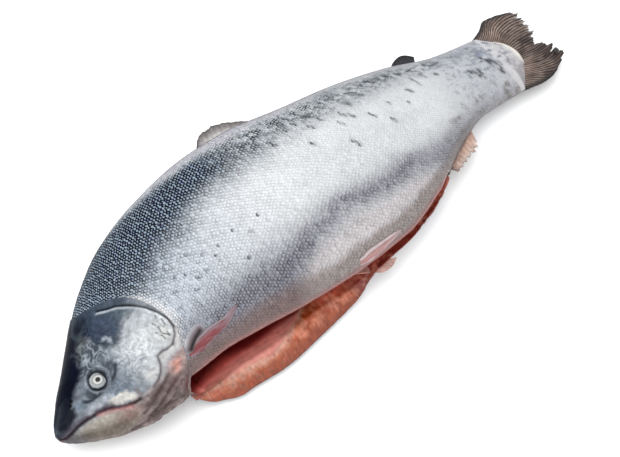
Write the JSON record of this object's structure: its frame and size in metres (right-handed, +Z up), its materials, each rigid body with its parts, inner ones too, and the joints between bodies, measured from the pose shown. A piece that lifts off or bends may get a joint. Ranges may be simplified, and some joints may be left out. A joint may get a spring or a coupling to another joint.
{
  "type": "whole raw fish",
  "caption": "Whole raw silver fish with its head on, gutted by one long belly cut that lies open, resting on its right side with folded fins.",
  "frame": {"origin": "centre of the footprint of the fish's bounding box, at the height of the surface that it lies on", "axes": "-X towards the snout, +X towards the tail, +Y towards the back, -Y towards the opened belly, +Z up out of the left flank"},
  "size_m": [0.6429, 0.2212, 0.1011],
  "materials": {
    "fish_skin": "wet silver scaled skin, slate blue on the back, grey band low on the flank, near white belly",
    "flesh": "moist orange-pink cut flesh and dark red lining of the belly hollow",
    "fin_membrane": "wet brown-grey fin skin with fine rays",
    "eye": "clear wet eye, pale silver iris, black pupil"
  },
  "bodies": {
    "root": {"fish": "fish_skin"}
  },
  "joints": []
}
